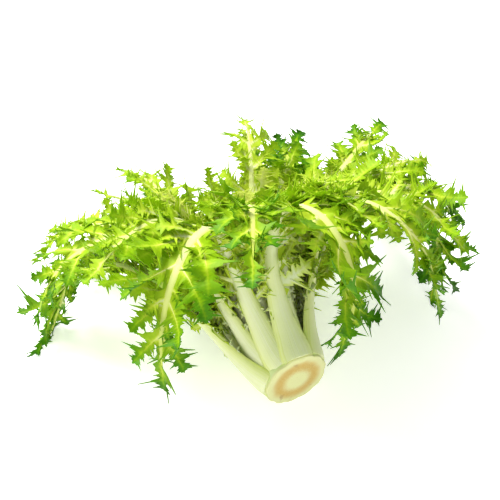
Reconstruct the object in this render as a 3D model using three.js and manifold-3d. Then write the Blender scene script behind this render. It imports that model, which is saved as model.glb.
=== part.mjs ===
// A cut curly endive (frisee) head, lying on its side with its heart turned up.
// Millimetres, +Z up. +Y points to the back of the head, and z = 0 is the surface it lies on.
//
// The head is a short stem and many leaves. The leaves are numbered from the outside in, a golden angle
// apart round the stem. Each leaf is a pale rib that bends away from the heart, with a row of toothed lobes
// on both edges, and each lobe has its own curl. A line of frames (a place, and the directions along and out
// of the blade) describes the rib, and another one each lobe, and the blade is drawn between them.

import * as THREE from "three";
import { mergeVertices } from "three/addons/utils/BufferGeometryUtils.js";
import Module from "manifold-3d";

const wasm = await Module();
wasm.setup();

// ---- driving dimensions ----

const LEAF_COUNT = 44;
const OUTER_COUNT = 15; // the longest and greenest leaves
const MIDDLE_COUNT = 15; // paler leaves inside them, before the heart

const OUTER_LENGTH = 236;
const HEART_LENGTH = 78;

const STEM_CUT_RADIUS = 21;
const STEM_RADIUS = 18; // where the first leaf stands
const STEM_TIP_RADIUS = 3;
const STEM_SHOULDER = 6; // from the cut to the first leaf
const STEM_LENGTH = 31;
const STEM_SIDES = 24;
const STEM_FLAT = 0.7; // how deep the stem is pressed flat where it lies
const FOOT_GAP = 1.9; // from the stem to the middle of a leaf's foot

const BLADE_THICKNESS = 0.75;
const LEAF_GAP = 0.5; // kept between one leaf and another while they are laid
const LEAF_TRIM = 0.04; // then taken off each face of a leaf, so that none touch where two lobes meet
const PRESS_HEIGHT = 7; // blades lower than this are pressed towards the surface

// The stem lies back and to the left, and the bunch of ribs bends upwards from it.
const STEM_DIRECTION = heading(146, 5);
const HEART_DIRECTION = heading(60, 80);
const BEND_LENGTH = 105;
const GOLDEN_ANGLE = degrees(137.508);

const RIB_STEPS = 40;
const RIB_TRIES = 60; // a rib that would cross another is laid anew at most this often
const LOBE_STEPS = 6;

// A lobe that would cross something is tried again with these shares of its length and of its curl.
const LOBE_TRIES = [
  [1, 1],
  [1, -0.6],
  [0.75, 1],
  [0.75, -0.6],
  [0.75, 2],
  [0.5, 1],
  [0.5, -1],
  [0.36, 1],
  [0.36, -1],
];

function degrees(angle) {
  return (angle * Math.PI) / 180;
}

function mix(a, b, share) {
  return a + (b - a) * share;
}

// A direction by its compass angle from +X and its rise above the surface, in degrees.
function heading(compass, rise) {
  const flat = Math.cos(degrees(rise));
  return new THREE.Vector3(
    flat * Math.cos(degrees(compass)),
    flat * Math.sin(degrees(compass)),
    Math.sin(degrees(rise)),
  );
}

// A repeatable draw from 0 to 1 for the keys a and b.
function draw(a, b) {
  const wave = Math.sin(a * 12.9898 + b * 78.233) * 43758.5453;
  return wave - Math.floor(wave);
}

// A repeatable draw from -1 to 1.
function sway(a, b) {
  return 2 * draw(a, b) - 1;
}

// ---- frames: where a rib or a lobe is, and which way it faces ----

const UP = new THREE.Vector3(0, 0, 1);
const ACROSS = new THREE.Vector3().crossVectors(STEM_DIRECTION, UP).normalize();
const OVER = new THREE.Vector3().crossVectors(ACROSS, STEM_DIRECTION);
const BEND_AXIS = new THREE.Vector3().crossVectors(STEM_DIRECTION, HEART_DIRECTION).normalize();
const BEND_ANGLE = STEM_DIRECTION.angleTo(HEART_DIRECTION);
const STEM_CENTRE = new THREE.Vector3(0, 0, STEM_CUT_RADIUS * OVER.z - STEM_FLAT);

// place is a point, along the growing direction, face the side turned to the heart, side the third one.
function makeFrame(place, along, face) {
  return { place, along, face, side: new THREE.Vector3().crossVectors(along, face) };
}

// The frame turned about the vector turn, whose length is the angle, and moved on by step.
function advance(frame, turn, step) {
  const angle = turn.length();
  const axis = angle > 0 ? turn.clone().divideScalar(angle) : UP;
  const along = frame.along.clone().applyAxisAngle(axis, angle);
  const face = frame.face.clone().applyAxisAngle(axis, angle);
  return makeFrame(frame.place.clone().addScaledVector(along, step), along, face);
}

// The frame at share (0 to 1) of the way along a line of frames.
function frameAt(line, share) {
  const at = Math.min(share, 0.99999) * (line.length - 1);
  const n = Math.floor(at);
  const [a, b] = [line[n], line[n + 1]];
  const place = a.place.clone().lerp(b.place, at - n);
  const along = a.along.clone().lerp(b.along, at - n).normalize();
  const face = a.face.clone().lerp(b.face, at - n).normalize();
  return makeFrame(place, along, face);
}

// The level axis that a positive turn about lifts a direction.
function liftAxis(along) {
  return new THREE.Vector3().crossVectors(along, UP);
}

// ---- the lines of a leaf ----

// The sizes of leaf i, where laying counts the tries to place it.
function leafSizes(i, laying) {
  const rank = i / (LEAF_COUNT - 1); // 0 for the outermost leaf, 1 for the innermost
  const vary = 1 + 0.09 * laying;
  const around = i * GOLDEN_ANGLE + degrees(mix(4, 10, rank)) * vary * sway(i, laying + 0.1);
  const under = Math.max(0, -Math.cos(around)); // 1 for a leaf under the stem, 0 for one beside it or above
  // 1 for an inner leaf at the back, which stands up, and 0 for one in front or outermost
  const behind = Math.max(0, Math.cos(around - degrees(124))) * Math.min(1, i / 12);
  return {
    i,
    rank,
    around,
    kind: i < OUTER_COUNT ? 0 : i < OUTER_COUNT + MIDDLE_COUNT ? 1 : 2,
    lobes: i < OUTER_COUNT ? 8 : i < OUTER_COUNT + MIDDLE_COUNT ? 7 : 5,
    length: mix(OUTER_LENGTH, HEART_LENGTH, rank ** 1.2) * (1 + 0.06 * sway(i, 2)) * 0.995 ** laying,
    start: mix(STEM_SHOULDER, STEM_LENGTH - 5, rank) + 2,
    radius: mix(STEM_RADIUS, STEM_TIP_RADIUS, rank) + FOOT_GAP,
    lean: degrees(mix(22, 4, rank) + 1.5 * (vary - 1) * draw(i, laying + 0.2)) * (1 - 0.6 * under),
    // turns in each millimetre: away from the heart, down by its weight, and to one side
    opening: degrees(mix(0.42, 0.4, rank) - 0.06 * behind) * (1 + 0.12 * vary * sway(i, laying + 0.3)),
    sag: degrees(mix(1.15, 0.12, rank ** 0.45)) * (1 - 0.55 * behind),
    yaw: degrees(0.1) * vary * sway(i, laying + 0.4),
    rest: 1.2 + 0.6 * i, // how high above the surface the rib stays
    ribWidth: mix(6.4, 2.6, rank),
    ribThickness: mix(2.2, 1.1, rank),
    lobeLength: mix(44, 18, rank),
  };
}

// The rib: it bends with the bunch, opens away from the heart, sags, and comes to rest above the surface.
function ribLine(leaf) {
  const outward = OVER.clone().multiplyScalar(Math.cos(leaf.around));
  outward.addScaledVector(ACROSS, Math.sin(leaf.around));
  const [cos, sin] = [Math.cos(leaf.lean), Math.sin(leaf.lean)];
  const along = STEM_DIRECTION.clone().multiplyScalar(cos).addScaledVector(outward, sin);
  const face = STEM_DIRECTION.clone().multiplyScalar(sin).addScaledVector(outward, -cos);
  const place = STEM_CENTRE.clone();
  place.addScaledVector(STEM_DIRECTION, leaf.start).addScaledVector(outward, leaf.radius);
  const step = leaf.length / RIB_STEPS;
  const line = [makeFrame(place, along, face)];
  for (let k = 0; k < RIB_STEPS; k++) {
    const now = line[k];
    const reach = k * step;
    const bend = reach < BEND_LENGTH ? (BEND_ANGLE * step) / BEND_LENGTH : 0;
    const turn = BEND_AXIS.clone().multiplyScalar(bend);
    turn.addScaledVector(now.side, -leaf.opening * step * Math.min(1.6, reach / 90));
    turn.addScaledVector(now.face, leaf.yaw * step * Math.cos(reach / 45));
    turn.addScaledVector(liftAxis(now.along), -leaf.sag * step * Math.min(1, reach / 90));
    // a leaf at the side rolls over until its inner face looks up
    turn.addScaledVector(now.along, degrees(0.25) * step * now.side.z);
    const softest = (leaf.rest - now.place.z) / 40; // the steepest way down that still lands softly
    const lift = Math.max(0, Math.min(0.25, softest - now.along.z));
    turn.addScaledVector(liftAxis(now.along), lift);
    line.push(advance(now, turn, step));
  }
  return line;
}

// Where the edge k between two lobes lies along the rib, from the foot (0) to the tip (1).
function lobeShare(leaf, k) {
  return mix(0.2, 0.94, k / leaf.lobes);
}

// Half the width of the rib with its narrow wings.
function halfWidth(leaf, share) {
  return leaf.ribWidth * mix(1, 0.25, share ** 0.8);
}

function lobeKey(leaf, k, hand) {
  return leaf.i * 100 + k * 2 + (hand > 0 ? 1 : 0);
}

// Lobe k on the side given by hand (1 or -1): it leaves the rib's edge, curls, twists and hooks forward.
function lobeLine(leaf, line, k, hand, [lengthShare, curlShare]) {
  const key = lobeKey(leaf, k, hand);
  const share = lobeShare(leaf, k + 0.5);
  const root = frameAt(line, share);
  const angle = degrees(mix(66, 40, share) + 9 * sway(key, 5));
  const along = root.along.clone().multiplyScalar(Math.cos(angle));
  along.addScaledVector(root.side, hand * Math.sin(angle));
  const place = root.place.clone().addScaledVector(root.side, hand * halfWidth(leaf, share));
  const bulge = 0.5 + 0.5 * Math.sin(Math.PI * Math.min(1, 0.1 + 0.95 * share));
  const length = leaf.lobeLength * bulge * (0.8 + 0.4 * draw(key, 6)) * lengthShare;
  const curl = degrees(mix(10, 60, draw(key, 7))) * (draw(key, 8) < 0.35 ? -1 : 1) * curlShare;
  const twist = degrees(50) * sway(key, 9);
  const hook = degrees(25) * draw(key, 10);
  const frames = [makeFrame(place, along, root.face.clone())];
  for (let n = 0; n < LOBE_STEPS; n++) {
    const now = frames[n];
    const turn = now.side.clone().multiplyScalar(((-curl / LOBE_STEPS) * (2 * n + 1)) / LOBE_STEPS);
    turn.addScaledVector(now.along, (hand * twist) / LOBE_STEPS);
    turn.addScaledVector(now.face, (hand * hook) / LOBE_STEPS);
    frames.push(advance(now, turn, length / LOBE_STEPS));
  }
  return frames;
}

// ---- sheets of triangles, and the closed solids they become ----

class Sheet {
  constructor() {
    this.points = [];
    this.thickness = [];
    this.triangles = [];
  }

  // A new point so far beside a frame, along it and out of its face. Low points are pressed flat.
  point(frame, side, along, face, thickness) {
    const place = frame.place.clone();
    place.addScaledVector(frame.side, side);
    place.addScaledVector(frame.along, along);
    place.addScaledVector(frame.face, face);
    if (place.z < PRESS_HEIGHT) place.z = PRESS_HEIGHT * Math.exp(place.z / PRESS_HEIGHT - 1);
    return this.add(place, thickness);
  }

  add(place, thickness) {
    this.points.push(place);
    this.thickness.push(thickness);
    return this.points.length - 1;
  }

  // The closed solid of the sheet. With grow its faces and its rim lie that much further out.
  solid(grow = 0) {
    const count = this.points.length;
    const normals = this.points.map(() => new THREE.Vector3());
    const edges = new Map();
    for (const [a, b, c] of this.triangles) {
      const ab = this.points[b].clone().sub(this.points[a]);
      const ac = this.points[c].clone().sub(this.points[a]);
      const normal = ab.cross(ac);
      for (const [from, to] of [[a, b], [b, c], [c, a]]) {
        normals[from].add(normal);
        edges.set(from * count + to, [from, to]);
      }
    }
    normals.forEach((normal) => normal.normalize());
    const rim = [...edges.values()].filter(([from, to]) => !edges.has(to * count + from));
    const outwards = this.points.map(() => new THREE.Vector3());
    for (const [from, to] of rim) {
      const edge = this.points[to].clone().sub(this.points[from]).normalize();
      outwards[from].add(edge.clone().cross(normals[from]));
      outwards[to].add(edge.clone().cross(normals[to]));
    }
    outwards.forEach((outward) => outward.normalize());
    const vertices = [];
    for (const sign of [1, -1]) {
      this.points.forEach((point, n) => {
        const moved = point.clone().addScaledVector(normals[n], sign * (this.thickness[n] / 2 + grow));
        moved.addScaledVector(outwards[n], grow);
        vertices.push(moved.x, moved.y, Math.max(0, moved.z));
      });
    }
    const triangles = [];
    for (const [a, b, c] of this.triangles) triangles.push(a, b, c, a + count, c + count, b + count);
    for (const [from, to] of rim) triangles.push(from, from + count, to + count, from, to + count, to);
    return manifoldOf(new Float32Array(vertices), new Uint32Array(triangles));
  }
}

function manifoldOf(vertProperties, triVerts) {
  return new wasm.Manifold(new wasm.Mesh({ numProp: 3, vertProperties, triVerts }));
}

// The rib with its wings and its end lobe. rows are its points, three abreast, from the foot up.
function ribSheet(leaf, line) {
  const sheet = new Sheet();
  const shares = [0, 0.09];
  for (let k = 0; k <= leaf.lobes; k++) shares.push(lobeShare(leaf, k));
  sheet.rows = shares.map((share) => {
    const frame = frameAt(line, share);
    const width = halfWidth(leaf, share);
    const middle = Math.max(BLADE_THICKNESS, leaf.ribThickness * mix(1, 0.2, share));
    const edge = Math.max(BLADE_THICKNESS, 0.45 * middle);
    const dish = 0.2 * width; // the rib is hollowed towards the heart
    return [
      sheet.point(frame, -width, 0, dish, edge),
      sheet.point(frame, 0, 0, -dish, middle),
      sheet.point(frame, width, 0, dish, edge),
    ];
  });
  for (let r = 0; r + 1 < sheet.rows.length; r++) {
    const [a, b] = [sheet.rows[r], sheet.rows[r + 1]];
    for (const c of [0, 1]) {
      sheet.triangles.push([a[c], a[c + 1], b[c + 1]], [a[c], b[c + 1], b[c]]);
    }
  }
  const [left, middle, right] = sheet.rows.at(-1);
  const frame = line.at(-1);
  const reach = 0.42 * leaf.lobeLength;
  const leftTooth = sheet.point(frame, -0.5 * reach, 0.1 * reach, 0.1 * reach, BLADE_THICKNESS);
  const rightTooth = sheet.point(frame, 0.55 * reach, 0.3 * reach, 0.15 * reach, BLADE_THICKNESS);
  const tip = sheet.point(frame, 0, reach, -0.2 * reach, BLADE_THICKNESS);
  sheet.triangles.push([left, middle, leftTooth], [middle, tip, leftTooth]);
  sheet.triangles.push([middle, rightTooth, tip], [middle, right, rightTooth]);
  return sheet;
}

// One lobe between the points near and far of the rib's edge, with teeth on both of its own edges.
// Across is negative on its near edge, towards the foot of the leaf, and positive on its far edge.
function addLobe(sheet, leaf, line, k, hand, near, far, variant) {
  const frames = lobeLine(leaf, line, k, hand, variant);
  const key = lobeKey(leaf, k, hand);
  const length = frames.at(-1).place.distanceTo(frames[0].place);
  const half = 0.1 * length + 1;
  const at = (share, across, ahead) => {
    return sheet.point(frameAt(frames, share), -hand * across * half, ahead * length, 0, BLADE_THICKNESS);
  };
  const nearTooth = mix(0.3, 0.4, draw(key, 11));
  const farTooth = mix(0.45, 0.6, draw(key, 12));
  const nearWaist = at(nearTooth + 0.06, -1.1, 0);
  const farWaist = at(farTooth + 0.06, 0.9, 0);
  const nearPoint = at(nearTooth, -3.0, 0.12);
  const spread = mix(2.8, 1.2, lobeShare(leaf, k + 0.5)); // less in the last lobes, which lie along the rib
  const farPoint = at(farTooth, spread, 0.18);
  const faces = [
    [near, far, farWaist],
    [near, farWaist, nearWaist],
    [near, nearWaist, nearPoint],
    [far, farPoint, farWaist],
  ];
  const tip = at(1, 0, 0);
  if (leaf.kind < 2) {
    const outerWaist = at(0.74, -0.7, 0);
    const outerPoint = at(0.7, -2.2, 0.12);
    faces.push([nearWaist, farWaist, outerWaist], [outerWaist, farWaist, tip]);
    faces.push([nearWaist, outerWaist, outerPoint]);
  } else {
    faces.push([nearWaist, farWaist, tip]);
  }
  for (const [a, b, c] of faces) sheet.triangles.push(hand > 0 ? [a, c, b] : [a, b, c]);
}

// ---- the stem ----

// A flat cut face, a shoulder where the first leaf stands, and a cone that carries the others.
function stemSolid() {
  const profile = [
    [0, 0],
    [STEM_CUT_RADIUS - 1, 0],
    [STEM_CUT_RADIUS, 1],
    [STEM_CUT_RADIUS, STEM_SHOULDER - 1],
    [STEM_RADIUS, STEM_SHOULDER],
    [STEM_TIP_RADIUS, STEM_LENGTH - 4],
    [0, STEM_LENGTH],
  ].map(([radius, height]) => new THREE.Vector2(radius, height));
  const lathe = new THREE.LatheGeometry(profile, STEM_SIDES);
  lathe.deleteAttribute("normal");
  lathe.deleteAttribute("uv");
  const turn = new THREE.Quaternion().setFromUnitVectors(new THREE.Vector3(0, 1, 0), STEM_DIRECTION);
  lathe.applyQuaternion(turn);
  lathe.translate(STEM_CENTRE.x, STEM_CENTRE.y, STEM_CENTRE.z);
  const merged = mergeVertices(lathe, 1e-3);
  const solid = manifoldOf(merged.attributes.position.array, new Uint32Array(merged.index.array));
  return solid.trimByPlane([0, 0, 1], 0);
}

// ---- laying the leaves clear of each other ----

// Everything laid so far: its solid with the gap round it, the box of that, and the leaf it belongs to.
const laid = [];

function lay(solid, owner) {
  laid.push({ solid, box: solid.boundingBox(), owner });
}

// How much of solid lies inside the things.
function crossing(solid, things) {
  const { min, max } = solid.boundingBox();
  let volume = 0;
  for (const { solid: other, box } of things) {
    const apart = [0, 1, 2].some((n) => box.min[n] > max[n] || box.max[n] < min[n]);
    if (!apart) volume += Math.abs(solid.intersect(other).volume());
  }
  return volume;
}

// The rib of leaf i in the first lie that crosses nothing, or in the one that crosses least.
function layRib(i) {
  let best = null;
  for (let laying = 0; laying < RIB_TRIES && !(best?.crossed === 0); laying++) {
    const leaf = leafSizes(i, laying);
    const line = ribLine(leaf);
    const sheet = ribSheet(leaf, line);
    const crossed = crossing(sheet.solid(), laid);
    if (!best || crossed < best.crossed) best = { leaf, line, sheet, crossed, laying };
  }
  lay(best.sheet.solid(LEAF_GAP), i);
  return best;
}

// The lobes of a leaf, each in the first of its tries that is clear of all else, or left out.
function layLobes({ leaf, line, sheet }) {
  const rib = sheet.solid();
  const own = [{ solid: rib, box: rib.boundingBox() }];
  const others = laid.filter((thing) => thing.owner !== leaf.i);
  for (let k = 0; k < leaf.lobes; k++) {
    for (const hand of [-1, 1]) {
      const column = hand < 0 ? 0 : 2;
      const ends = [sheet.rows[k + 2][column], sheet.rows[k + 3][column]];
      for (const variant of LOBE_TRIES) {
        const lobe = new Sheet();
        for (const n of ends) lobe.add(sheet.points[n].clone(), sheet.thickness[n]);
        addLobe(lobe, leaf, line, k, hand, 0, 1, variant);
        const [whole, grown] = [lobe.solid(), lobe.solid(LEAF_GAP)];
        // without its roots the lobe must also be clear of its own leaf
        lobe.points[0].lerp(lobe.points[2], 0.35);
        lobe.points[1].lerp(lobe.points[3], 0.35);
        const loose = lobe.solid();
        if (crossing(whole, others) > 0 || crossing(loose, own) > 0) continue;
        own.push({ solid: loose, box: loose.boundingBox() });
        lay(grown, leaf.i);
        addLobe(sheet, leaf, line, k, hand, ...ends, variant);
        break;
      }
    }
  }
}

// ---- the head ----

const KINDS = [
  ["outer_leaf_", new THREE.MeshStandardMaterial({ color: 0x7fb02f, roughness: 0.5 })],
  ["middle_leaf_", new THREE.MeshStandardMaterial({ color: 0xa8cb4c, roughness: 0.5 })],
  ["heart_leaf_", new THREE.MeshStandardMaterial({ color: 0xd6df7c, roughness: 0.5 })],
];

function leafName({ i, kind }) {
  const first = [0, OUTER_COUNT, OUTER_COUNT + MIDDLE_COUNT][kind];
  return KINDS[kind][0] + String(i - first + 1).padStart(2, "0");
}

function meshOf(name, solid, material) {
  const { vertProperties, triVerts } = solid.getMesh();
  const geometry = new THREE.BufferGeometry();
  geometry.setAttribute("position", new THREE.BufferAttribute(vertProperties, 3));
  geometry.setIndex(new THREE.BufferAttribute(triVerts, 1));
  geometry.computeVertexNormals();
  const mesh = new THREE.Mesh(geometry, material);
  mesh.name = name;
  return mesh;
}

const head = new THREE.Group();
const stem = stemSolid();
head.add(meshOf("stem", stem, new THREE.MeshStandardMaterial({ color: 0xd9dfb0, roughness: 0.5 })));
lay(stem, "stem");

const leaves = [];
for (let i = 0; i < LEAF_COUNT; i++) leaves.push(layRib(i));
leaves.forEach(layLobes);
for (const { leaf, sheet } of leaves) {
  head.add(meshOf(leafName(leaf), sheet.solid(-LEAF_TRIM), KINDS[leaf.kind][1]));
}

// The origin is the middle of the head's footprint, on the surface.
const box = new THREE.Box3().setFromObject(head);
const middle = box.getCenter(new THREE.Vector3());
head.position.set(-middle.x, -middle.y, -box.min.z);

export default head;
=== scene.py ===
import math
from types import SimpleNamespace

import bpy
import numpy as np
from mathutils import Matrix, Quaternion, Vector


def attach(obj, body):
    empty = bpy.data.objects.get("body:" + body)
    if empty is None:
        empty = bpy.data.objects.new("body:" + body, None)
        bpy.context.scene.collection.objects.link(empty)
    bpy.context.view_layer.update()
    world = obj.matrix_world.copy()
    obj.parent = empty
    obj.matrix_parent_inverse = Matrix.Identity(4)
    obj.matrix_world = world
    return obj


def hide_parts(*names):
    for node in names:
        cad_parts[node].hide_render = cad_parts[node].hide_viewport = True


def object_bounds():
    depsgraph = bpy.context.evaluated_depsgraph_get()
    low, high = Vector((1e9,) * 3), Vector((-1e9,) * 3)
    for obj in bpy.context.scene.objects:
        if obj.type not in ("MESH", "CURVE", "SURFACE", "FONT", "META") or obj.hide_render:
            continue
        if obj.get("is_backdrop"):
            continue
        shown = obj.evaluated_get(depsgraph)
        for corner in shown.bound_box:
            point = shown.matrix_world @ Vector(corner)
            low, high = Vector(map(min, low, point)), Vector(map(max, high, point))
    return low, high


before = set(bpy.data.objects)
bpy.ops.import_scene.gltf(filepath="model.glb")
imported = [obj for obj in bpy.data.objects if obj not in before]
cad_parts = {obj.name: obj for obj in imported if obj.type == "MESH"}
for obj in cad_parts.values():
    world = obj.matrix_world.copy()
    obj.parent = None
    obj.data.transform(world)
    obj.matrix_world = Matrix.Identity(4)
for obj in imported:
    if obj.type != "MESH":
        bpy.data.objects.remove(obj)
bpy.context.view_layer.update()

# ---- the stem ----
# The short butt of pale, juicy flesh that carries all the leaves. A knife left its end flat, with a ring
# of vessels that browns first, and trimmed the lowest leaves away, which left its rim scalloped.
# It lies back and to the left, so that its cut end faces forward and to the right.

MM = 0.001
STEM_CUT_RADIUS = 21
STEM_RADIUS = 18
STEM_TIP_RADIUS = 3
STEM_SHOULDER = 6
STEM_LENGTH = 31
STEM_FLAT = 0.7
STEM_COMPASS = 146
STEM_RISE = 5
STEM_SIDES = 120
RIM_ROUNDING = 0.9
SCALLOPS = 11
SCALLOP_DEPTH = 0.05  # as a share of the radius
CUT_RINGS = [0.96, 0.9, 0.8, 0.7, 0.6, 0.45, 0.25, 0.08]  # as shares of the radius
PITH_RISE = 0.5
PITH_RADIUS = 0.5  # as a share of the radius
VESSELS_DEPTH = 0.35
VESSELS_RADIUS = 0.65  # as a share of the radius
CONE_STEPS = 6
PALE_GREEN = (0.66, 0.75, 0.36)
CUT_CREAM = (0.71, 0.71, 0.37)
VESSEL_OCHRE = (0.56, 0.34, 0.06)
BRUISE_BROWN = (0.36, 0.2, 0.07)
UP = Vector((0, 0, 1))


def mix(a, b, share):
    return a + (b - a) * share


def heading(compass, rise):
    """A direction by its compass angle from +X and its rise, in degrees."""
    flat = math.cos(math.radians(rise))
    level = Vector((math.cos(math.radians(compass)), math.sin(math.radians(compass)), 0))
    return level * flat + UP * math.sin(math.radians(rise))


STEM_DIRECTION = heading(STEM_COMPASS, STEM_RISE)
ACROSS = STEM_DIRECTION.cross(UP).normalized()
OVER = ACROSS.cross(STEM_DIRECTION)
STEM_CENTRE = Vector((0, 0, STEM_CUT_RADIUS * OVER.z - STEM_FLAT))

# Where the head stands: the tip of the stem is the leftmost point of its node.
stem_points = np.array([v.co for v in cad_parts["stem"].data.vertices])
stem_tip = Vector(stem_points[stem_points[:, 0].argmin()])
HEAD_PLACE = np.array(stem_tip - (STEM_CENTRE + STEM_DIRECTION * STEM_LENGTH) * MM)


class Sum:
    """A number in a material. Its operators add Math nodes."""

    def __init__(self, finish, socket):
        self.finish = finish
        self.socket = socket

    def maths(self, operation, *values):
        return self.finish.add("Math", {"operation": operation}, dict(enumerate(values)))

    def __add__(self, other):
        return self.maths("ADD", self, other)

    def __sub__(self, other):
        return self.maths("SUBTRACT", self, other)

    def __rsub__(self, other):
        return self.maths("SUBTRACT", other, self)

    def __mul__(self, other):
        return self.maths("MULTIPLY", self, other)

    def __pow__(self, other):
        return self.maths("POWER", self, other)

    __radd__ = __add__
    __rmul__ = __mul__

    def between(self, low, high):
        """0 where this is at low or past it, 1 at high, and a smooth step in between."""
        limits = {"From Min": low, "From Max": high}
        return self.finish.add("MapRange", {"interpolation_type": "SMOOTHSTEP"}, {"Value": self, **limits})


class Finish:
    """A material in the making."""

    def __init__(self, name):
        self.material = bpy.data.materials.new(name)
        self.material.use_nodes = True
        self.tree = self.material.node_tree
        self.tree.nodes.clear()

    def add(self, kind, settings, sockets, output=0):
        """A new node from its type, its settings and its sockets' values or links. Gives its output."""
        node = self.tree.nodes.new("ShaderNode" + kind)
        for name, value in settings.items():
            if name == "stops":
                ramp = node.color_ramp.elements
                while len(ramp) < len(value):
                    ramp.new(1)
                for stop, (position, colour) in zip(ramp, value):
                    stop.position = position
                    stop.color = (*colour, 1)
            else:
                setattr(node, name, value)
        by_name = {slot.name: slot for slot in reversed(node.inputs)}
        by_name.update({slot.identifier: slot for slot in node.inputs})
        for name, value in sockets.items():
            slot = node.inputs[name] if isinstance(name, int) else by_name[name]
            if isinstance(value, Sum):
                self.tree.links.new(value.socket, slot)
            elif slot.type == "RGBA":
                slot.default_value = (*value, 1)
            else:
                slot.default_value = value
        return Sum(self, node.outputs[output])

    def spread(self, name):
        """A number that the piece's points carry."""
        return self.add("Attribute", {"attribute_name": name}, {}, "Fac")

    def noise(self, scale, detail=3.0):
        """Even noise from 0 to 1 with so many cells to the metre."""
        place = self.add("TexCoord", {}, {}, "Object")
        return self.add("TexNoise", {}, {"Vector": place, "Scale": scale, "Detail": detail}, "Fac")

    def blend(self, share, first, second):
        """From the first colour to the second, by a share."""
        sockets = {"Factor_Float": share, "A_Color": first, "B_Color": second}
        return self.add("Mix", {"data_type": "RGBA"}, sockets, 2)

    def close(self, surface):
        """The finished material, whose surface is this shader's."""
        end = self.tree.nodes.new("ShaderNodeOutputMaterial")
        self.tree.links.new(surface.socket, end.inputs["Surface"])
        return self.material


def spread_over(mesh, name, numbers):
    """Gives each point of a mesh its number under this name."""
    attribute = mesh.attributes.get(name) or mesh.attributes.new(name, "FLOAT", "POINT")
    attribute.data.foreach_set("value", np.asarray(numbers, np.float32))


# The butt is turned upright on its cut end, and then laid down with the head.
bpy.ops.object.select_all(action="DESELECT")
bpy.ops.mesh.primitive_cylinder_add(
    vertices=STEM_SIDES,
    radius=STEM_CUT_RADIUS * MM,
    depth=STEM_SHOULDER * MM,
    location=(0, 0, STEM_SHOULDER / 2 * MM),
)
stem = bpy.context.object
stem.name = "stem_butt"
bpy.ops.object.transform_apply(location=True)
bpy.ops.object.mode_set(mode="EDIT")
bpy.ops.mesh.select_mode(type="FACE")


def select_faces(piece, wanted):
    """Selects the faces of the piece in edit mode whose centre and normal are wanted."""
    bpy.ops.mesh.select_all(action="DESELECT")
    bpy.ops.object.mode_set(mode="OBJECT")
    for face in piece.data.polygons:
        face.select = wanted(face.center, face.normal)
    bpy.ops.object.mode_set(mode="EDIT")


# The cut face, in rings that carry its colours.
select_faces(stem, lambda centre, normal: normal.z < -0.9)
ring = 1
for share in CUT_RINGS:
    bpy.ops.mesh.inset(thickness=(ring - share) * STEM_CUT_RADIUS * MM)
    ring = share
# The shoulder, and the cone that the inner leaves grow from.
select_faces(stem, lambda centre, normal: normal.z > 0.9)
bpy.ops.mesh.inset(thickness=(STEM_CUT_RADIUS - STEM_RADIUS) * MM)
radius = STEM_RADIUS
for n in range(CONE_STEPS):
    narrower = mix(STEM_RADIUS, STEM_TIP_RADIUS, (n + 1) / CONE_STEPS)
    rise = (STEM_LENGTH - STEM_SHOULDER) / CONE_STEPS * MM
    bpy.ops.mesh.extrude_region_move(TRANSFORM_OT_translate={"value": (0, 0, rise)})
    bpy.ops.transform.resize(value=(narrower / radius, narrower / radius, 1))
    radius = narrower
# The rim is rounded, and then scalloped by moving its points.
bpy.ops.object.mode_set(mode="OBJECT")
bevel = stem.modifiers.new("rounding", "BEVEL")
bevel.width = RIM_ROUNDING * MM
bevel.segments = 3
bevel.angle_limit = math.radians(50)
bpy.ops.object.modifier_apply(modifier=bevel.name)
points = np.array([v.co for v in stem.data.vertices])
turns = np.arctan2(points[:, 1], points[:, 0])
radii = np.hypot(points[:, 0], points[:, 1]) / (STEM_CUT_RADIUS * MM)
heights = points[:, 2] / (STEM_LENGTH * MM)
scallop = np.abs(np.sin(turns * SCALLOPS / 2 + 0.7 * np.sin(2 * turns))) - 0.7
points[:, :2] *= (1 + SCALLOP_DEPTH * scallop * np.clip(radii, 0, 1) ** 3)[:, None]
# the pith of the cut stands a little proud, and the ring of vessels round it has sunk
proud = PITH_RISE * np.exp(-((radii / PITH_RADIUS) ** 2))
proud -= VESSELS_DEPTH * (np.abs(radii - VESSELS_RADIUS) < 0.06)
points[:, 2] -= np.where(heights < 0.02, proud, 0) * MM
stem.data.vertices.foreach_set("co", points.ravel())
spread_over(stem.data, "radius", radii)
spread_over(stem.data, "height", heights)
stem.data.transform(UP.rotation_difference(STEM_DIRECTION).to_matrix().to_4x4())
points = np.array([v.co for v in stem.data.vertices]) + np.array(STEM_CENTRE) * MM + HEAD_PLACE
points[:, 2] = np.maximum(points[:, 2], 0)
stem.data.vertices.foreach_set("co", points.ravel())
bpy.ops.object.shade_smooth_by_angle(angle=math.radians(40))

flesh = Finish("stem_flesh")
radius = flesh.spread("radius")
height = flesh.spread("height")
mottle = flesh.noise(160)
grain = flesh.noise(900, 4)
cut = 1 - height.between(0.03, 0.08)
wobble = radius + 0.09 * (mottle - 0.5) + 0.06 * (grain - 0.5)
vessels = wobble.between(0.26, 0.56) * (1 - wobble.between(0.62, 0.9)) * cut
bruise = mottle.between(0.58, 0.75) * cut * wobble.between(0.3, 0.9)
colour = flesh.blend(cut * 0.9, PALE_GREEN, CUT_CREAM)
colour = flesh.blend(vessels * (0.5 + 0.5 * grain), colour, VESSEL_OCHRE)
colour = flesh.blend(bruise * 0.6, colour, BRUISE_BROWN)
relief = flesh.add("Bump", {}, {"Height": grain + mottle, "Strength": 0.5, "Distance": 0.0006})
skin = {"Base Color": colour, "Roughness": 0.35 + 0.3 * cut, "Normal": relief, "Subsurface Weight": 0.15}
skin["Subsurface Radius"] = (0.004, 0.004, 0.0015)
stem.data.materials.append(flesh.close(flesh.add("BsdfPrincipled", {}, skin)))
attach(stem, "root")
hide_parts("stem")

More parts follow.
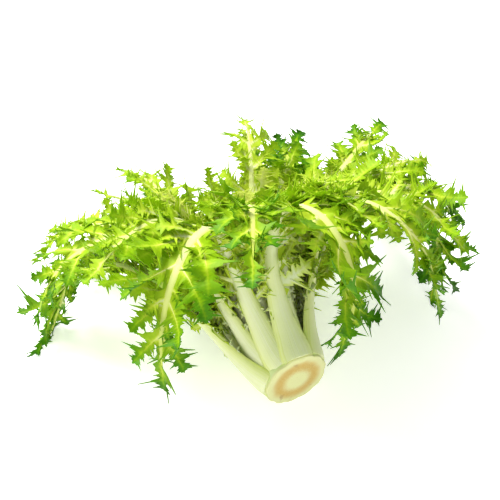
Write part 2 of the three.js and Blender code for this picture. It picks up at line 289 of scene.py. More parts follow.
# ---- the rule that lays the leaves ----
# Leaves grow one after another round the stem, each a golden angle further on, from the outside in. Each is
# a rib that bends away from the heart, sags and comes to rest, with a row of lobes on both its edges.
# A leaf that met another on its way was laid a little differently, and so was a lobe.

LEAF_COUNT = 44
OUTER_COUNT = 15
MIDDLE_COUNT = 15
FIRSTS = [0, OUTER_COUNT, OUTER_COUNT + MIDDLE_COUNT, LEAF_COUNT]  # of each kind, and the end
OUTER_LENGTH = 236
HEART_LENGTH = 78
# from the outermost leaf to the innermost
RIB_WIDTHS = (6.4, 2.6)  # half of the width at the foot
RIB_THICKNESSES = (2.2, 1.1)
LOBE_LENGTHS = (44, 18)
LEANS = (22, 4)  # degrees away from the stem's axis, at the foot
OPENINGS = (0.42, 0.4)  # degrees that the rib turns outwards in each millimetre
SAGS = (1.15, 0.12)  # degrees that the rib sinks in each millimetre
LOBES = [8, 7, 5]  # on each edge of an outer, a middle and a heart leaf
FOOT_GAP = 1.9
PRESS_HEIGHT = 7
HEART_DIRECTION = heading(60, 80)
BEND_LENGTH = 105
GOLDEN_ANGLE = math.radians(137.508)
RIB_STEPS = 40
RIB_TRIES = 60
LOBE_STEPS = 6
# the size and the curl of a lobe, as it was tried in one place after another
LOBE_TRIES = [
    (1, 1),
    (1, -0.6),
    (0.75, 1),
    (0.75, -0.6),
    (0.75, 2),
    (0.5, 1),
    (0.5, -1),
    (0.36, 1),
    (0.36, -1),
]
FOUND_WITHIN = 0.9  # how near to a tried lobe's tip its node has to reach
BEND_AXIS = STEM_DIRECTION.cross(HEART_DIRECTION).normalized()
BEND_ANGLE = STEM_DIRECTION.angle(HEART_DIRECTION)


def draw(a, b):
    """A repeatable draw from 0 to 1 for the keys a and b."""
    wave = math.sin(a * 12.9898 + b * 78.233) * 43758.5453
    return wave - math.floor(wave)


def sway(a, b):
    return 2 * draw(a, b) - 1


class Spot:
    """A place on a leaf, with the directions along its blade, out of its face and to its side."""

    def __init__(self, place, along, face):
        self.place = place
        self.along = along
        self.face = face
        self.side = along.cross(face)

    def advance(self, turn, step):
        """The next spot, turned about the vector turn by its length and moved on by step."""
        spin = Quaternion(turn, turn.length) if turn.length > 0 else Quaternion()
        along = spin @ self.along
        return Spot(self.place + along * step, along, spin @ self.face)


def unit(vectors):
    return vectors / np.linalg.norm(vectors, axis=1)[:, None]


class Line:
    """A smooth run through spots in a row."""

    def __init__(self, spots):
        self.last = len(spots) - 1
        self.places = np.array([s.place for s in spots])
        self.alongs = np.array([s.along for s in spots])
        self.faces = np.array([s.face for s in spots])
        self.length = float(np.linalg.norm(np.diff(self.places, axis=0), axis=1).sum())
        self.headings = self.alongs.copy()
        self.headings[:-1] = unit(self.alongs[:-1] + self.alongs[1:])
        self.headings[0] = self.alongs[0]

    def at(self, shares):
        """Places, and directions out of the face and to the side, at shares of the length."""
        inside = np.clip(shares, 0, 1)
        n = np.minimum((inside * self.last).astype(int), self.last - 1)
        t = (inside * self.last - n)[:, None]
        step = self.length / self.last
        places = (2 * t**3 - 3 * t**2 + 1) * self.places[n] + (3 * t**2 - 2 * t**3) * self.places[n + 1]
        places += ((t**3 - 2 * t**2 + t) * self.headings[n] + (t**3 - t**2) * self.headings[n + 1]) * step
        alongs = unit(self.alongs[n] * (1 - t) + self.alongs[n + 1] * t)
        faces = unit(self.faces[n] * (1 - t) + self.faces[n + 1] * t)
        places += alongs * ((shares - inside) * self.length)[:, None]
        return places, faces, np.cross(alongs, faces)


def between(spots, share):
    """The spot at a share of the way along a list of them."""
    at = min(share, 0.99999) * (len(spots) - 1)
    n = int(at)
    a, b = spots[n], spots[n + 1]
    along = a.along.lerp(b.along, at - n).normalized()
    return Spot(a.place.lerp(b.place, at - n), along, a.face.lerp(b.face, at - n).normalized())


def pressed(places):
    """Places low over the surface, pressed flat towards it."""
    heights = places[:, 2]
    flat = PRESS_HEIGHT * np.exp(np.minimum(heights, PRESS_HEIGHT) / PRESS_HEIGHT - 1)
    places[:, 2] = np.where(heights < PRESS_HEIGHT, flat, heights)
    return places


def leaf_sizes(i, laying):
    """The sizes of leaf i in its laying-th lie, in millimetres."""
    rank = i / (LEAF_COUNT - 1)
    vary = 1 + 0.09 * laying
    around = i * GOLDEN_ANGLE + math.radians(mix(4, 10, rank)) * vary * sway(i, laying + 0.1)
    under = max(0, -math.cos(around))
    behind = max(0, math.cos(around - math.radians(124))) * min(1, i / 12)
    kind = 0 if i < FIRSTS[1] else 1 if i < FIRSTS[2] else 2
    lean = mix(*LEANS, rank) + 1.5 * (vary - 1) * draw(i, laying + 0.2)
    opening = (mix(*OPENINGS, rank) - 0.06 * behind) * (1 + 0.12 * vary * sway(i, laying + 0.3))
    return SimpleNamespace(
        i=i,
        rank=rank,
        around=around,
        kind=kind,
        lobes=LOBES[kind],
        length=mix(OUTER_LENGTH, HEART_LENGTH, rank**1.2) * (1 + 0.06 * sway(i, 2)) * 0.995**laying,
        start=mix(STEM_SHOULDER, STEM_LENGTH - 5, rank) + 2,
        radius=mix(STEM_RADIUS, STEM_TIP_RADIUS, rank) + FOOT_GAP,
        lean=math.radians(lean) * (1 - 0.6 * under),
        opening=math.radians(opening),
        sag=math.radians(mix(*SAGS, rank**0.45)) * (1 - 0.55 * behind),
        yaw=math.radians(0.1) * vary * sway(i, laying + 0.4),
        rest=1.2 + 0.6 * i,
        rib_width=mix(*RIB_WIDTHS, rank),
        rib_thickness=mix(*RIB_THICKNESSES, rank),
        lobe_length=mix(*LOBE_LENGTHS, rank),
    )


def rib_spots(leaf):
    """The rib of a leaf, from its foot on the stem to its tip."""
    outward = OVER * math.cos(leaf.around) + ACROSS * math.sin(leaf.around)
    cos, sin = math.cos(leaf.lean), math.sin(leaf.lean)
    place = STEM_CENTRE + STEM_DIRECTION * leaf.start + outward * leaf.radius
    spots = [Spot(place, STEM_DIRECTION * cos + outward * sin, STEM_DIRECTION * sin - outward * cos)]
    step = leaf.length / RIB_STEPS
    for k in range(RIB_STEPS):
        now = spots[k]
        reach = k * step
        level = now.along.cross(UP)
        turn = BEND_AXIS * (BEND_ANGLE * step / BEND_LENGTH if reach < BEND_LENGTH else 0)
        turn += now.side * (-leaf.opening * step * min(1.6, reach / 90))
        turn += now.face * (leaf.yaw * step * math.cos(reach / 45))
        turn += level * (-leaf.sag * step * min(1, reach / 90))
        turn += now.along * (math.radians(0.25) * step * now.side.z)
        softest = (leaf.rest - now.place.z) / 40
        turn += level * max(0, min(0.25, softest - now.along.z))
        spots.append(now.advance(turn, step))
    return spots


def lobe_share(leaf, k):
    """Where the edge k between two lobes lies along the rib."""
    return mix(0.2, 0.94, k / leaf.lobes)


def half_width(leaf, share):
    return leaf.rib_width * mix(1, 0.25, share**0.8)


def lobe_spots(leaf, spots, share, hand, key, size, curled, spread=0, rise=0):
    """A lobe's own line. It leaves the rib's edge, curls, twists and hooks forward."""
    root = between(spots, share)
    angle = math.radians(mix(66, 40, share) + 9 * sway(key, 5) + spread)
    along = root.along * math.cos(angle) + root.side * hand * math.sin(angle)
    place = root.place + root.side * hand * half_width(leaf, share)
    bulge = 0.5 + 0.5 * math.sin(math.pi * min(1, 0.1 + 0.95 * share))
    length = leaf.lobe_length * bulge * (0.8 + 0.4 * draw(key, 6)) * size
    curl = math.radians(mix(10, 60, draw(key, 7))) * (-1 if draw(key, 8) < 0.35 else 1) * curled
    twist = math.radians(50) * sway(key, 9)
    hook = math.radians(25) * draw(key, 10)
    lobe = [Spot(place, along, root.face)]
    if rise:
        tilt = Quaternion(lobe[0].side, math.radians(rise))
        lobe = [Spot(place, tilt @ along, tilt @ root.face)]
    for n in range(LOBE_STEPS):
        now = lobe[n]
        turn = now.side * (-curl / LOBE_STEPS * (2 * n + 1) / LOBE_STEPS)
        turn += now.along * (hand * twist / LOBE_STEPS)
        turn += now.face * (hand * hook / LOBE_STEPS)
        lobe.append(now.advance(turn, length / LOBE_STEPS))
    return lobe


def lobe_key(leaf, k, hand):
    return leaf.i * 100 + k * 2 + (1 if hand > 0 else 0)


def nearest(points, place):
    """How far the nearest of the points is from a place."""
    return float(np.linalg.norm(points - pressed(np.array([place])), axis=1).min())


def leaf_name(leaf):
    kind = ["outer_leaf_", "middle_leaf_", "heart_leaf_"][leaf.kind]
    return kind + f"{leaf.i - FIRSTS[leaf.kind] + 1:02d}"


def laid_leaf(i):
    """Leaf i as it lies: of all its lies, the one whose tip is at the tip of its node."""
    name = leaf_name(leaf_sizes(i, 0))
    points = (np.array([v.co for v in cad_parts[name].data.vertices]) - HEAD_PLACE) / MM
    best = None
    for laying in range(RIB_TRIES):
        leaf = leaf_sizes(i, laying)
        spots = rib_spots(leaf)
        reach = 0.42 * leaf.lobe_length
        miss = nearest(points, spots[-1].place + spots[-1].along * reach - spots[-1].face * (0.2 * reach))
        if best is None or miss < best.miss:
            best = SimpleNamespace(leaf=leaf, spots=spots, miss=miss, name=name, points=points)
    return best


# ---- the blanks of the ribs, lobes, frills, spines and wings ----
# A rib is juicy. A lobe is cut again into prongs whose edges run out in fine spines. A frill or a spine is
# a lobe that stayed small, and a wing is the strip of blade along a rib. Each is shaped flat and straight
# here, one unit long, and every leaf then gets its own bent copies of them.

RIB_SIDES = 14
RIB_RINGS = 44
TWIG_SIDES = 6
TWIG_RINGS = 8
TIP_WIDTH = 0.03
LONG_TOOTH = 9  # longer than any prong, so that it sets no limit
PRONG_SLIM = 1.7  # 1 is a straight-edged prong, and more is a hollow-edged one
WING_ROWS = 72


def rod_blank(sides, rings):
    """A straight rod of unit radius and length, upright on its foot, in rings."""
    bpy.ops.object.select_all(action="DESELECT")
    bpy.ops.mesh.primitive_circle_add(vertices=sides, radius=1, fill_type="NGON")
    bpy.ops.object.mode_set(mode="EDIT")
    for n in range(rings):
        bpy.ops.mesh.extrude_region_move(TRANSFORM_OT_translate={"value": (0, 0, 1 / rings)})
    bpy.ops.mesh.select_all(action="SELECT")
    bpy.ops.mesh.normals_make_consistent(inside=False)
    bpy.ops.object.mode_set(mode="OBJECT")
    return bpy.context.object


def edge_reach(rows, prongs, waist, bite, notch, tooth):
    """How far each row of one edge reaches, and which prong it is part of.

    Each prong is where it is longest, how far its foot spreads to either side, and how long it is. Every
    second row runs out in a spine. The rows between are notched to a share of that, but by no more than
    a tooth.
    """
    reach = np.full(rows + 1, waist * 0.8)
    part = np.zeros(rows + 1, int)
    steepest = np.zeros(rows + 1)
    for n, (peak, spread, length) in enumerate(prongs):
        steps = np.abs(np.arange(rows + 1) - round(peak * rows))
        slope = np.clip(1 - steps / (spread * rows), 0, 1)
        spined = waist + (length - waist) * slope**PRONG_SLIM + bite
        notched = np.maximum(np.maximum(spined * notch, spined - tooth), 0.7 * waist)
        toothed = np.where(steps % 2 == 0, spined, notched)
        wins = slope > steepest
        reach = np.where(wins, toothed, reach)
        part = np.where(wins, n, part)
        steepest = np.maximum(steepest, slope)
    return reach, part


def prong_row(count, first, last, longest, uneven):
    """Prongs from first to last along an edge, longest below the middle, every second one shorter."""
    prongs = []
    for n in range(count):
        peak = mix(first, last, n / (count - 1))
        length = longest * math.sin(math.pi * mix(0.28, 0.9, peak)) ** 0.8
        spread = 0.58 * (last - first) / (count - 1)
        prongs.append((peak, spread, length * (uneven if n % 2 else 1)))
    return prongs


def lobe_blank(rows, columns, near, far, waist, bite, notch, tooth=LONG_TOOTH):
    """A flat lobe: rows from its root to its tip, columns from its vein to each edge.

    Its two edges have the prongs near and far. The waist is the blade between prongs, and the bite is how
    far a spine runs out past its prong. Both, and the tooth, are in half widths of the lobe.
    """
    bpy.ops.object.select_all(action="DESELECT")
    bpy.ops.mesh.primitive_grid_add(x_subdivisions=2 * columns, y_subdivisions=rows, size=2)
    blank = bpy.context.object
    points = np.array([v.co for v in blank.data.vertices])
    cross = np.sign(points[:, 0]) * np.abs(points[:, 0]) ** 1.3
    row = np.rint((points[:, 1] + 1) / 2 * rows).astype(int)
    edges = [edge_reach(rows, prongs, waist, bite, notch, tooth) for prongs in (near, far)]
    hand = (cross > 0).astype(int)
    narrowing = np.minimum(1, (1 - np.arange(rows + 1) / rows) * 8 + TIP_WIDTH)
    reach = np.array([edge[0] for edge in edges]) * narrowing
    part = np.array([edge[1] for edge in edges])
    faces = np.array([f.vertices for f in blank.data.polygons])
    bpy.data.objects.remove(blank)
    return SimpleNamespace(
        cross=cross,
        row=row / rows,
        across=cross * reach[hand, row],
        part=part[hand, row] + 8 * hand,
        faces=faces,
    )


def wing_blank(rows):
    """A flat strip: how far up and how far across each point is, and its row."""
    bpy.ops.object.select_all(action="DESELECT")
    bpy.ops.mesh.primitive_grid_add(x_subdivisions=2, y_subdivisions=rows, size=2)
    blank = bpy.context.object
    points = (np.array([v.co for v in blank.data.vertices]) + 1) / 2
    faces = np.array([f.vertices for f in blank.data.polygons])
    bpy.data.objects.remove(blank)
    up = points[:, 1]
    return SimpleNamespace(up=up, across=points[:, 0], row=np.rint(up * rows), faces=faces)


ROD = rod_blank(RIB_SIDES, RIB_RINGS)
TWIG = rod_blank(TWIG_SIDES, TWIG_RINGS)
# Broad lobes for the outer leaves, and narrower ones with longer spines towards the heart.
BROAD_LOBES = [
    lobe_blank(
        rows=36,
        columns=2,
        near=prong_row(5, 0.12, 0.86, 3.1, 0.6),
        far=prong_row(4, 0.2, 0.84, 3.0, 0.7),
        waist=0.65,
        bite=0.34,
        notch=0.6,
        tooth=0.7,
    ),
    lobe_blank(
        rows=38,
        columns=2,
        near=prong_row(4, 0.2, 0.86, 3.3, 0.65),
        far=prong_row(5, 0.1, 0.88, 3.0, 0.55),
        waist=0.46,
        bite=0.38,
        notch=0.54,
        tooth=0.8,
    ),
    lobe_blank(
        rows=36,
        columns=2,
        near=prong_row(4, 0.16, 0.8, 3.1, 1.0),
        far=prong_row(4, 0.26, 0.88, 2.9, 0.6),
        waist=0.56,
        bite=0.36,
        notch=0.57,
        tooth=0.7,
    ),
]
MIDDLE_LOBES = [
    lobe_blank(
        rows=38,
        columns=2,
        near=prong_row(5, 0.12, 0.86, 3.2, 0.6),
        far=prong_row(4, 0.2, 0.86, 3.1, 0.7),
        waist=0.38,
        bite=0.46,
        notch=0.48,
        tooth=1.1,
    ),
    lobe_blank(
        rows=38,
        columns=2,
        near=prong_row(4, 0.2, 0.86, 3.4, 0.65),
        far=prong_row(5, 0.1, 0.88, 3.1, 0.55),
        waist=0.34,
        bite=0.5,
        notch=0.45,
        tooth=1.1,
    ),
]
FINE_LOBES = [
    lobe_blank(
        rows=32,
        columns=2,
        near=prong_row(4, 0.16, 0.84, 3.3, 0.7),
        far=prong_row(4, 0.26, 0.9, 3.1, 0.65),
        waist=0.25,
        bite=0.8,
        notch=0.3,
    ),
    lobe_blank(
        rows=32,
        columns=2,
        near=prong_row(4, 0.1, 0.8, 3.2, 0.8),
        far=prong_row(3, 0.26, 0.84, 3.4, 0.7),
        waist=0.23,
        bite=0.85,
        notch=0.3,
    ),
]
FRILLS = [
    lobe_blank(
        rows=14,
        columns=1,
        near=prong_row(3, 0.25, 0.8, 3.2, 0.8),
        far=prong_row(2, 0.42, 0.8, 3.0, 0.8),
        waist=0.32,
        bite=0.7,
        notch=0.38,
    ),
    lobe_blank(
        rows=14,
        columns=1,
        near=prong_row(2, 0.3, 0.7, 3.3, 0.7),
        far=prong_row(3, 0.15, 0.8, 2.8, 0.8),
        waist=0.3,
        bite=0.7,
        notch=0.35,
    ),
]
SPINES = [
    lobe_blank(
        rows=8,
        columns=1,
        near=prong_row(2, 0.4, 0.8, 2.2, 0.5),
        far=prong_row(2, 0.3, 0.7, 1.4, 0.8),
        waist=0.4,
        bite=0.3,
        notch=0.5,
    ),
    lobe_blank(
        rows=8,
        columns=1,
        near=prong_row(2, 0.3, 0.6, 1.2, 0.6),
        far=prong_row(2, 0.5, 0.8, 1.8, 0.8),
        waist=0.4,
        bite=0.3,
        notch=0.5,
    ),
]
WING = wing_blank(WING_ROWS)

# ---- the leaves ----
# A leaf's rib is near white at its foot and greener upwards. Its blade is thin, crisp and satiny, paler
# along its veins and underneath, yellow in the heart where no light came, and deep green at the tips of the
# outermost leaves. Each leaf is one mesh of its own, whose foot is grown into the stem.

BLADE_THICKNESS = 0.42
SMOOTH_ANGLE = 55
RIB_SHARE = 0.85  # of the width of the rib with its wings
RIB_HOLLOW = 0.2  # of its width
FOOT_DEPTH = 6  # how far the rib's foot runs into the stem
RIB_SWELL = 1.6  # of the rib's thickness
FOOT_SPREAD = 1.1  # how much wider the rib is at its foot
TWIG_DEPTH = 1.5  # how far a lobe's rib runs into the leaf's rib, for its thickness
TWIG_END = 0.8  # of the lobe's length
TWIG_SHARES = (0.315, 0.375)  # of half of the rib's width, the least and the most
FRINGE = 3  # rows of spines down the lower rib
FRILLS_A_LOBE = [2, 3, 3]  # of each kind of leaf
FRILL_SIZES = (0.26, 0.55)  # of a lobe, the least and the most
SPINE_SIZES = (0.08, 0.24)
FRILL_RISES = (-60, 35)  # degrees out of the blade
FRILL_TINT = -0.06  # how much greener than a lobe, so these are paler
SPINE_TINT = -0.3
WING_START = 0.1  # of the rib's length
WING_END = 0.97
WING_WIDTH = 3.4
LOBE_ROOT = 0.72  # where blades start, of half of the rib's width
WING_ROOT = 0.76
ROOT_LENGTH = 0.22  # of the lobe's length
LOBE_HALF = 0.1  # of the lobe's length
TIP_HALF = 0.12
TIP_LENGTH = 0.46  # of the longest lobe
BLADE_GREEN = [0.26, 0.2, 0.07]  # of the palest blade of each kind of leaf
FORWARD = 0.65  # how far a prong leans forward for its reach
HOOK = 1.2  # the reach, in half widths, at which it has bent half of that way
TIP_SPREAD = 0.55  # how much less a prong at the lobe's tip leans
FOLD = 0.2  # how far a prong rises from the blade for its reach
CURL_MOST = 0.8  # the most that a prong curls out of the blade for its reach
RUFFLE = 0.16  # how high the blade's edge is ruffled for its reach
LIVELY = [0.7, 0.8, 0.95]  # how strongly the prongs of each kind of leaf curl
MISSING_SIZE = 0.62  # of a lobe that its node has no room for
# how green the outermost and the innermost leaf of each kind are
LEAF_GREEN = [(1.0, 0.85), (0.66, 0.45), (0.27, 0.02)]
GROOVES = 12  # across half of a rib


def bend_rib(leaf, line):
    """The rod bent along a rib's line: its points, how far up and how far across each is."""
    rod = np.array([v.co for v in ROD.data.vertices])
    share = mix(-FOOT_DEPTH / leaf.length, 1.02, rod[:, 2])
    up = np.clip(share, 0, 1)
    place, face, side = line.at(share)
    slim = (1 - 0.8 * up**1.1) * np.clip((1.02 - share) / 0.1, 0.15, 1)
    width = RIB_SHARE * leaf.rib_width * slim * (1 + FOOT_SPREAD * np.exp(-up * 7))
    thick = RIB_SWELL * leaf.rib_thickness * (1 - 0.75 * up) * (1 + 0.5 * np.exp(-up * 9))
    x, y = rod[:, 0], rod[:, 1]
    hollow = RIB_HOLLOW * leaf.rib_width * slim * (1 - 0.7 * np.clip(up / 0.4, 0, 1))
    out = hollow * (1.6 * x**2 - 0.9) + thick * np.where(y > 0, 0.4, 0.95) * y
    wander = (0.35 * np.sin(share * 17 + leaf.i) + 0.2 * np.sin(share * 41 + 2 * leaf.i)) * (1 - up)
    points = place - side * (x * width + wander)[:, None] + face * out[:, None]
    return pressed(points), up, x


def bend_lobe(blank, line, leaf, rib, root, hand, key, half, lively):
    """A lobe's blade bent along its line, and rooted on a stretch of the rib's edge."""
    part = blank.part
    length = np.array([mix(0.7, 1.25, draw(key, 20 + n)) for n in range(16)])[part]
    bend = np.array([sway(key, 40 + n) for n in range(16)])[part] * lively
    lean = np.array([FORWARD + 0.25 * sway(key, 60 + n) for n in range(16)])[part]
    width = blank.across * half * length
    reach = np.abs(width)
    lean = lean * (1 - TIP_SPREAD * blank.row)
    share = blank.row + lean * reach**2 / ((reach + HOOK * half) * line.length)
    place, face, side = line.at(share)
    ruffle = np.sin(blank.row * 21 + key + 2 * np.sign(width)) * RUFFLE * reach * lively
    curl = bend * reach * np.minimum(0.2 + reach / (3.5 * half), CURL_MOST)
    out = FOLD * reach + curl + ruffle
    free = place - side * (hand * width)[:, None] + face * out[:, None]
    # the root runs along the rib's edge, and starts inside it
    at = mix(root[0], root[1], (blank.cross + 1) / 2)
    edge, _, rib_side = rib.at(at)
    inner = LOBE_ROOT * half_width(leaf, at)
    fixed = edge + rib_side * (hand * inner)[:, None]
    fixed += line.alongs[0] * (blank.row * line.length)[:, None]
    t = np.clip(blank.row / ROOT_LENGTH, 0, 1)[:, None]
    return pressed(fixed + (free - fixed) * (t * t * (3 - 2 * t)))


def bend_wing(leaf, rib, hand, key):
    """The strip of blade along one edge of a rib, with uneven teeth that lean forward."""
    teeth = np.array([draw(key, 80 + n) * (1 if n % 2 else 0.4) for n in range(WING_ROWS + 1)])
    tooth = (teeth + 1.2 * (teeth > 0.8))[WING.row.astype(int)]
    share = mix(WING_START, WING_END, WING.up)
    wide = WING_WIDTH * (1 - leaf.rank * 0.4) * np.sin(math.pi * np.clip(WING.up, 0.03, 0.97)) ** 0.6
    reach = WING.across**1.5 * wide * (0.5 + tooth)
    place, face, side = rib.at(share + 0.5 * reach / leaf.length)
    inner = WING_ROOT * half_width(leaf, share)
    out = reach * (0.1 + 0.6 * np.sin(share * 60 + key)) - 0.3
    points = place + side * (hand * (inner * (1 + 0.3 * WING.across) + reach))[:, None]
    points += face * out[:, None]
    return pressed(points), share, WING.across


def bend_twig(line, thick):
    """The rib of a lobe, from inside the leaf's rib to near the lobe's tip."""
    rod = np.array([v.co for v in TWIG.data.vertices])
    share = mix(-TWIG_DEPTH * thick / line.length, TWIG_END, rod[:, 2])
    place, face, side = line.at(share)
    slim = thick * (1 - 0.85 * np.clip(share / TWIG_END, 0, 1))
    out = rod[:, 1] * 0.8 * slim - 0.2 * slim
    points = place - side * (rod[:, 0] * slim)[:, None] + face * out[:, None]
    return pressed(points)


def leaf_patches(leaf, spots, points, rib):
    """The blades of a leaf, each as points, faces, green and vein, and its lobes' own ribs."""
    blanks = [BROAD_LOBES + MIDDLE_LOBES, MIDDLE_LOBES + FINE_LOBES, FINE_LOBES][leaf.kind]
    lively = LIVELY[leaf.kind]
    patches = []
    twigs = []

    def patch(blank, lobe, root, hand, key, fullness, share, tint):
        """Adds one blade. A tint below 0 makes it paler."""
        line = Line(lobe)
        half = fullness * line.length + 1
        place = bend_lobe(blank, line, leaf, rib, root, hand, key, half, lively)
        depth = np.clip(blank.row + 0.12 * np.abs(blank.across), 0, 1)
        green = (0.1 + 0.9 * min(1, share * 1.1) ** 1.4) * (0.4 + 0.6 * depth) + tint + 0.1 * sway(key, 30)
        vein = (blank.cross == 0) * (1 - 0.6 * blank.row)
        patches.append((place, blank.faces, green, vein))
        return line

    for k in range(leaf.lobes):
        for hand in (-1, 1):
            key = lobe_key(leaf, k, hand)
            share = lobe_share(leaf, k + 0.5)
            tries = [lobe_spots(leaf, spots, share, hand, key, *variant) for variant in LOBE_TRIES]
            misses = [nearest(points, lobe[-1].place) for lobe in tries]
            if min(misses) < FOUND_WITHIN:
                lobe = tries[misses.index(min(misses))]
            else:
                lobe = lobe_spots(leaf, spots, share, hand, key, MISSING_SIZE, 1)
            root = (lobe_share(leaf, k), lobe_share(leaf, k + 1))
            blank = blanks[int(draw(key, 13) * len(blanks))]
            line = patch(blank, lobe, root, hand, key, LOBE_HALF, share, 0)
            thick = mix(*TWIG_SHARES, draw(key, 19)) * half_width(leaf, share)
            twigs.append((bend_twig(line, thick), share))
    # frills between the lobes and on their feet, and spines down the lower rib
    frills = FRILLS_A_LOBE[leaf.kind]
    for k in range(-FRINGE, frills * leaf.lobes + 1):
        for hand in (-1, 1):
            key = lobe_key(leaf, k, hand) + 7000
            share = lobe_share(leaf, k / frills + 0.25 * sway(key, 14))
            size = mix(*FRILL_SIZES, draw(key, 15))
            rise = mix(*FRILL_RISES, draw(key, 16))
            shapes = FRILLS
            tint = FRILL_TINT
            if k < 0:
                share = mix(lobe_share(leaf, 0), WING_START, (0.4 * sway(key, 14) - k) / FRINGE)
                size = mix(*SPINE_SIZES, draw(key, 15))
                shapes = SPINES
                tint = SPINE_TINT
            lobe = lobe_spots(leaf, spots, share, hand, key, size, 1, 15 * sway(key, 18), rise)
            root = (share - 0.012, share + 0.012)
            blank = shapes[int(draw(key, 13) * len(shapes))]
            patch(blank, lobe, root, hand, key, LOBE_HALF, share, tint)
    # the wings along the rib
    for hand in (-1, 1):
        key = leaf.i * 100 + 3000 + hand
        place, share, edge = bend_wing(leaf, rib, hand, key)
        green = (0.1 + 0.8 * share**1.3) * (0.5 + 0.4 * edge)
        patches.append((place, WING.faces, green, 0 * share))
    # the lobe at the end
    key = leaf.i * 100 + 9000
    reach = TIP_LENGTH * leaf.lobe_length
    tip = [spots[-2], spots[-1]]
    for n in range(LOBE_STEPS):
        turn = tip[-1].side * (math.radians(4) * sway(key, 7)) + tip[-1].along * math.radians(3)
        tip.append(tip[-1].advance(turn, reach / LOBE_STEPS))
    patch(blanks[0], tip[1:], (0.95, 0.97), 1, key, TIP_HALF, 1, 0.08)
    return patches, twigs


def new_piece(name, points, faces):
    """A mesh piece from points in millimetres from the stem, in the head's place."""
    mesh = bpy.data.meshes.new(name)
    mesh.from_pydata((points * MM + HEAD_PLACE).tolist(), [], faces.tolist())
    piece = bpy.data.objects.new(name, mesh)
    bpy.context.collection.objects.link(piece)
    bpy.ops.object.select_all(action="DESELECT")
    bpy.context.view_layer.objects.active = piece
    piece.select_set(True)
    return piece


def copied_rod(rod, points):
    """A copy of a rod with its points moved to these places."""
    copy = bpy.data.objects.new("rod", rod.data.copy())
    bpy.context.collection.objects.link(copy)
    copy.data.vertices.foreach_set("co", (points * MM + HEAD_PLACE).ravel())
    return copy


def spread_all(piece, green, vein=0, rib=0, under=0, cord=0):
    """Gives each point of a leaf's mesh all the numbers that its finish reads."""
    for name, numbers in [("green", green), ("vein", vein), ("rib", rib), ("under", under), ("cord", cord)]:
        spread_over(piece.data, name, np.broadcast_to(numbers, len(piece.data.vertices)))


def leaf_finish(name, stops, through, thin):
    """Crisp leaf: satiny, veined, and lit through where it is thin. Its ribs are pale and grooved."""
    leaf = Finish(name)
    green = leaf.spread("green")
    vein = leaf.spread("vein").between(0.05, 1)
    rib = leaf.spread("rib")
    under = leaf.spread("under")
    blotch = leaf.noise(60)
    grain = leaf.noise(600, 4)
    cord = leaf.spread("cord")
    lines = {"W": cord * GROOVES, "Scale": 1}
    grooves = leaf.add("TexNoise", {"noise_dimensions": "1D"}, lines, "Fac")
    tone = green + (0.24 * (blotch - 0.5) + 0.1 * (grain - 0.5)) * (1 - 0.7 * rib)
    tone = tone - 0.28 * vein - 0.06 * under
    tone = tone + rib * (0.2 * (grooves - 0.5) + 0.12 * cord**2)
    colour = leaf.add("ValToRGB", {"stops": stops}, {"Fac": tone})
    height = grain * (1 - rib) + 1.5 * vein + 2 * rib * grooves
    relief = leaf.add("Bump", {}, {"Height": height, "Strength": 0.4, "Distance": 0.0005})
    skin = {"Base Color": colour, "Roughness": 0.42 + 0.15 * grain - 0.12 * rib, "Normal": relief}
    skin["Specular IOR Level"] = 0.25
    body = leaf.add("BsdfPrincipled", {}, skin)
    light = leaf.add("BsdfTranslucent", {}, {"Color": through})
    return leaf.close(leaf.add("MixShader", {}, {0: thin * (1 - 0.8 * rib), 1: body, 2: light}))


TONES = [
    (0.0, (0.84, 0.87, 0.6)),
    (0.15, (0.76, 0.82, 0.3)),
    (0.32, (0.6, 0.72, 0.06)),
    (0.54, (0.35, 0.54, 0.01)),
    (0.78, (0.1, 0.29, 0.004)),
    (1.0, (0.02, 0.11, 0.002)),
]
FINISHES = [
    ("outer_leaf", leaf_finish("outer_leaf_green", TONES, (0.32, 0.6, 0.01), 0.3)),
    ("middle_leaf", leaf_finish("middle_leaf_green", TONES, (0.54, 0.76, 0.05), 0.36)),
    ("heart_leaf", leaf_finish("heart_leaf_yellow", TONES, (0.9, 0.93, 0.5), 0.52)),
]

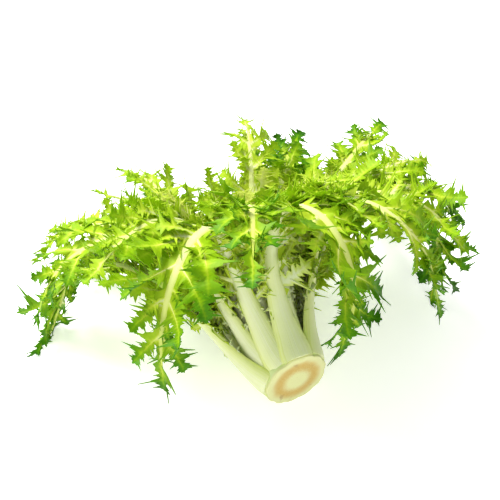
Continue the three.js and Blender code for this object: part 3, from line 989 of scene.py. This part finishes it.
for i in range(LEAF_COUNT):
    lie = laid_leaf(i)
    leaf = lie.leaf
    rib = Line(lie.spots)
    first, next_kind = FIRSTS[leaf.kind], FIRSTS[leaf.kind + 1]
    richness = mix(*LEAF_GREEN[leaf.kind], (i - first) / (next_kind - first - 1)) * (1 + 0.12 * sway(i, 31))

    patches, twigs = leaf_patches(leaf, lie.spots, lie.points, rib)
    offsets = np.cumsum([0] + [len(patch[0]) for patch in patches[:-1]])
    faces = np.concatenate([patch[1] + offset for patch, offset in zip(patches, offsets)])
    blade = new_piece(lie.name + "_frond", np.concatenate([patch[0] for patch in patches]), faces)
    solidify = blade.modifiers.new("thickness", "SOLIDIFY")
    solidify.thickness = BLADE_THICKNESS * MM
    solidify.offset = 0
    bpy.ops.object.modifier_apply(modifier=solidify.name)
    green = mix(BLADE_GREEN[leaf.kind], 1, np.concatenate([patch[2] for patch in patches]) * richness)
    vein = np.concatenate([patch[3] for patch in patches])
    spread_all(blade, green=np.tile(green, 2), vein=np.tile(vein, 2), under=np.repeat([0, 1], len(green)))

    points, up, cord = bend_rib(leaf, rib)
    rods = [copied_rod(ROD, points)]
    spread_all(rods[0], green=(0.02 + 0.26 * up**2) * richness, rib=1 - 0.4 * up, cord=cord)
    for points, share in twigs:
        rods.append(copied_rod(TWIG, points))
        out = np.array([v.co.z for v in TWIG.data.vertices])
        spread_all(rods[-1], green=(0.26 * share**2 + 0.3 * out) * richness, rib=0.8 - 0.5 * out)
    for rod in rods:
        rod.select_set(True)
    bpy.ops.object.join()
    # what the thickness pushed under the table comes back up to it
    points = np.array([v.co for v in blade.data.vertices])
    points[:, 2] = np.maximum(points[:, 2], 0)
    blade.data.vertices.foreach_set("co", points.ravel())
    bpy.ops.object.shade_smooth_by_angle(angle=math.radians(SMOOTH_ANGLE))
    slot, finish = FINISHES[leaf.kind]
    blade.data.materials.clear()
    blade.data.materials.append(finish)
    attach(blade, "root")
    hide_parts(lie.name)
bpy.data.objects.remove(ROD)
bpy.data.objects.remove(TWIG)

# ---- the table, the light and the camera ----
# The head lies on a plain white table in soft daylight from the left and above.

TABLE_SIZE = 16
TABLE_GLOW = 0.36
SKY_GLOW = 0.5
CAMERA_RISE = 42
CAMERA_LENS = 85
CAMERA_AWAY = 0.76
CAMERA_DROP = 0.026  # how far below the middle of the head the camera looks
CAMERA_SIDE = 28  # degrees to the right of the front

bpy.ops.object.select_all(action="DESELECT")
bpy.ops.mesh.primitive_plane_add(size=TABLE_SIZE)
tabletop = bpy.context.object
tabletop.name = "tabletop"
paint = Finish("white_table")
speck = paint.noise(300)
shade = paint.blend(speck, (0.86, 0.86, 0.85), (0.9, 0.9, 0.89))
sockets = {"Base Color": shade, "Roughness": 0.6}
sockets.update({"Emission Color": (1, 1, 1), "Emission Strength": TABLE_GLOW})
tabletop.data.materials.append(paint.close(paint.add("BsdfPrincipled", {}, sockets)))
tabletop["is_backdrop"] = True

world = bpy.data.worlds.new("daylight")
world.use_nodes = True
world.node_tree.nodes["Background"].inputs["Color"].default_value = (1, 1, 1, 1)
world.node_tree.nodes["Background"].inputs["Strength"].default_value = SKY_GLOW
bpy.context.scene.world = world


def soft_light(name, compass, rise, away, size, power, colour):
    """A square lamp that looks at the head from so far away."""
    lamp = bpy.data.lights.new(name, "AREA")
    lamp.size = size
    lamp.energy = power
    lamp.color = colour
    holder = bpy.data.objects.new(name, lamp)
    bpy.context.collection.objects.link(holder)
    holder.location = heading(compass, rise) * away
    holder.rotation_euler = heading(compass, rise).to_track_quat("Z", "Y").to_euler()


soft_light("window", compass=172, rise=55, away=1.6, size=0.9, power=40, colour=(1, 0.98, 0.95))
soft_light("fill", compass=-60, rise=35, away=1.8, size=1.4, power=8, colour=(0.97, 0.99, 1))
bpy.context.scene.view_settings.view_transform = "Standard"
bpy.context.scene.view_settings.look = "Medium High Contrast"

low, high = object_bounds()
middle = (low + high) / 2
camera_data = bpy.data.cameras.new("camera")
camera_data.lens = CAMERA_LENS
camera = bpy.data.objects.new("camera", camera_data)
bpy.context.collection.objects.link(camera)
back = heading(CAMERA_SIDE - 90, CAMERA_RISE)
view_up = heading(CAMERA_SIDE + 90, 90 - CAMERA_RISE)
camera.location = middle + back * CAMERA_AWAY - view_up * CAMERA_DROP
camera.rotation_euler = back.to_track_quat("Z", "Y").to_euler()
bpy.context.scene.camera = camera
